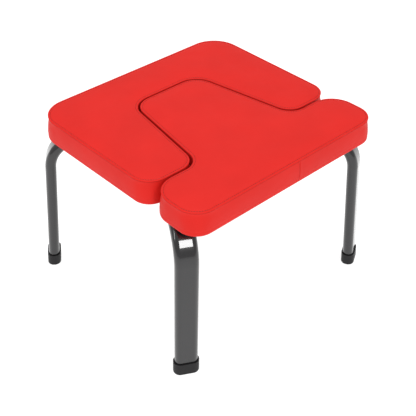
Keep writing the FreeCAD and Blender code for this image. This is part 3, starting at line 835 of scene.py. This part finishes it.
class BENCH_OT_insert_pad(bpy.types.Operator):
    """Build the insert's cover, foam and stitching"""

    bl_idname = "bench.insert_pad"
    bl_label = "Insert pad"

    def execute(self, context):
        scene = context.scene
        sizes = scene.bench_pads
        low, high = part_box("insert_side_band")
        seams = [(sizes.band_seam_place, low.y)]
        points = insert_outline(sizes, seams)
        shelf = low.y + sizes.crossbar_depth - 12 * MM

        def tight(place):
            """True beside the seat."""
            return place.y > shelf

        build_pad(scene, "insert", "insert", points, seams, tight)
        return {"FINISHED"}


class BENCH_OT_tube_frame(bpy.types.Operator):
    """Paint the tubes and lay the weld beads at the cross tube's ends"""

    bl_idname = "bench.tube_frame"
    bl_label = "Tube frame"

    def execute(self, context):
        sizes = context.scene.bench_frame
        paint = bpy.data.materials["grey_powder_coat_gloss"]
        for name in ("left_side_tube", "right_side_tube", "rear_cross_tube"):
            finish_node(name, paint)
        rail = surface_of([NODES["right_side_tube"]])
        low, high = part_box("rear_cross_tube")
        corner = sizes.tube_corner
        half = (high.z - low.z) / 2
        step_length = sizes.weld_ripple / 3
        # round the back side, along the bottom and up the front side, open at the top
        loop = []
        side_steps = round(math.radians(130) * corner / step_length)
        for step in range(side_steps + 1):
            turn = math.radians(40 - 130 * step / side_steps)
            loop.append((high.y - corner + corner * math.cos(turn), low.z + half + half * math.sin(turn)))
        bottom_steps = round((high.y - low.y - 2 * corner) / step_length)
        loop += [(high.y - corner - step * step_length, low.z) for step in range(1, bottom_steps)]
        loop += [(low.y + high.y - y, z) for y, z in reversed(loop[:side_steps + 1])]
        path = []
        for y, z in loop:
            clear = min(max(z, low.z + 1.2 * MM), high.z - 1.2 * MM)
            hit = rail.ray_cast(Vector((0, y, clear)), Vector((1, 0, 0)))[0]
            if hit is None:
                raise RuntimeError("the weld misses the rail")
            path.append(Vector((hit.x - 0.4 * MM, y, z)))
        swell = [sizes.weld_radius * (1 + 0.16 * math.cos(index * 2 * math.pi / 3))
                 for index in range(len(path))]
        mirrored = [Vector((-point.x, point.y, point.z)) for point in path]
        points, faces = tube_mesh([path, mirrored], swell, 10)
        beads = mesh_object("cross_tube_welds", points, faces, paint)
        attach(beads, "frame")
        return {"FINISHED"}


class BENCH_OT_foot_caps(bpy.types.Operator):
    """Give the foot caps their rubber"""

    bl_idname = "bench.foot_caps"
    bl_label = "Foot caps"

    def execute(self, context):
        for end in ("front_left", "front_right", "back_left", "back_right"):
            finish_node(f"{end}_foot_cap", bpy.data.materials["black_rubber_moulded"])
        return {"FINISHED"}


class BENCH_OT_undersides(bpy.types.Operator):
    """Finish the boards, dust covers and staples"""

    bl_idname = "bench.undersides"
    bl_label = "Undersides"

    def execute(self, context):
        for pad in ("seat", "insert"):
            finish_node(f"{pad}_board", bpy.data.materials["birch_plywood_sanded"])
            finish_node(f"{pad}_dust_cover", bpy.data.materials["black_spunbond_nonwoven"])
            finish_node(f"{pad}_staples", bpy.data.materials["zinc_plated_steel"])
        return {"FINISHED"}


class BENCH_OT_fasteners(bpy.types.Operator):
    """Finish the bolts, washers, tee nuts, locating pins and their screws"""

    bl_idname = "bench.fasteners"
    bl_label = "Fasteners"

    def execute(self, context):
        for name in ("seat_bolts", "seat_washers", "seat_tee_nuts", "insert_pin_screws"):
            finish_node(name, bpy.data.materials["zinc_plated_steel"])
        finish_node("insert_pins", bpy.data.materials["black_nylon_turned"])
        return {"FINISHED"}


class BENCH_OT_finishes(bpy.types.Operator):
    """Make the bench's materials"""

    bl_idname = "bench.finishes"
    bl_label = "Finishes"

    def execute(self, context):
        colours = context.scene.bench_colours
        for make in (leatherette_material, thread_material, paint_material, rubber_material,
                     nonwoven_material, plywood_material, foam_material, nylon_material, zinc_material):
            make(colours)
        return {"FINISHED"}


class BENCH_OT_stage(bpy.types.Operator):
    """Set the floor, lights and camera"""

    bl_idname = "bench.stage"
    bl_label = "Stage"

    def execute(self, context):
        scene = context.scene
        sizes = scene.bench_stage
        half = sizes.floor_width / 2
        floor = mesh_object("floor", [(-half, -half, 0), (half, -half, 0), (half, half, 0), (-half, half, 0)],
                            [(0, 1, 2, 3)], paper_material())
        scene.view_settings.view_transform = "Standard"
        world = bpy.data.worlds.new("studio")
        world.use_nodes = True
        background = world.node_tree.nodes["Background"]
        background.inputs["Color"].default_value = (1, 1, 1, 1)
        background.inputs["Strength"].default_value = 0.62
        scene.world = world
        # place, side lengths and power of each softbox
        softboxes = (("key_softbox", (-0.85, -2.1, 1.65), 0.28, 0.85, 15),
                     ("side_softbox", (-2.0, 0.3, 1.5), 0.3, 0.9, 6),
                     ("top_softbox", (0.1, 0.2, 2.6), 1.4, 1.4, 23))
        for name, place, width, height, power in softboxes:
            light = bpy.data.lights.new(name, "AREA")
            light.shape = "RECTANGLE"
            light.size, light.size_y = width, height
            light.energy = power
            lamp = bpy.data.objects.new(name, light)
            lamp.location = place
            aim = Vector((0, 0, 0.25)) - Vector(place)
            lamp.rotation_euler = aim.to_track_quat("-Z", "Y").to_euler()
            scene.collection.objects.link(lamp)
        az, el, roll = sizes.azimuth, sizes.elevation, sizes.roll
        back = Vector((math.sin(az) * math.cos(el), -math.cos(az) * math.cos(el), math.sin(el)))
        level = Vector((math.cos(az), math.sin(az), 0))
        rise = back.cross(level)
        right = level * math.cos(roll) + rise * math.sin(roll)
        upward = rise * math.cos(roll) - level * math.sin(roll)
        camera = bpy.data.objects.new("camera", bpy.data.cameras.new("camera"))
        camera.data.lens = sizes.lens
        camera.data.sensor_width = 36
        camera.data.clip_end = 50
        camera.matrix_world = Matrix.Translation(sizes.camera_place) @ Matrix(
            (right, upward, back)).transposed().to_4x4()
        scene.collection.objects.link(camera)
        scene.camera = camera
        return {"FINISHED"}


STEPS = (BENCH_OT_finishes, BENCH_OT_seat_pad, BENCH_OT_insert_pad, BENCH_OT_tube_frame,
         BENCH_OT_foot_caps, BENCH_OT_undersides, BENCH_OT_fasteners, BENCH_OT_stage)
GROUPS = {"bench_pads": PadSizes, "bench_stitches": StitchSizes, "bench_frame": FrameSizes,
          "bench_colours": Colours, "bench_stage": StageSizes}


class BENCH_PT_panel(bpy.types.Panel):
    """Sizes, colours and building steps of the bench"""

    bl_label = "Headstand bench"
    bl_space_type = "VIEW_3D"
    bl_region_type = "UI"
    bl_category = "Bench"

    def draw(self, context):
        for step in STEPS:
            self.layout.operator(step.bl_idname)
        for group, kind in GROUPS.items():
            box = self.layout.box()
            box.label(text=kind.__doc__)
            for name in kind.__annotations__:
                box.prop(getattr(context.scene, group), name)


def register():
    """Register the property groups, operators and panel."""
    for kind in (*GROUPS.values(), *STEPS, BENCH_PT_panel):
        bpy.utils.register_class(kind)
    for name, kind in GROUPS.items():
        setattr(bpy.types.Scene, name, bpy.props.PointerProperty(type=kind))


def unregister():
    """Take everything that register added back out."""
    for name in GROUPS:
        delattr(bpy.types.Scene, name)
    for kind in (BENCH_PT_panel, *reversed(STEPS), *reversed(GROUPS.values())):
        bpy.utils.unregister_class(kind)


def main():
    """Build the bench."""
    register()
    for step in STEPS:
        category, name = step.bl_idname.split(".")
        getattr(getattr(bpy.ops, category), name)()


if __name__ == "__main__":
    main()
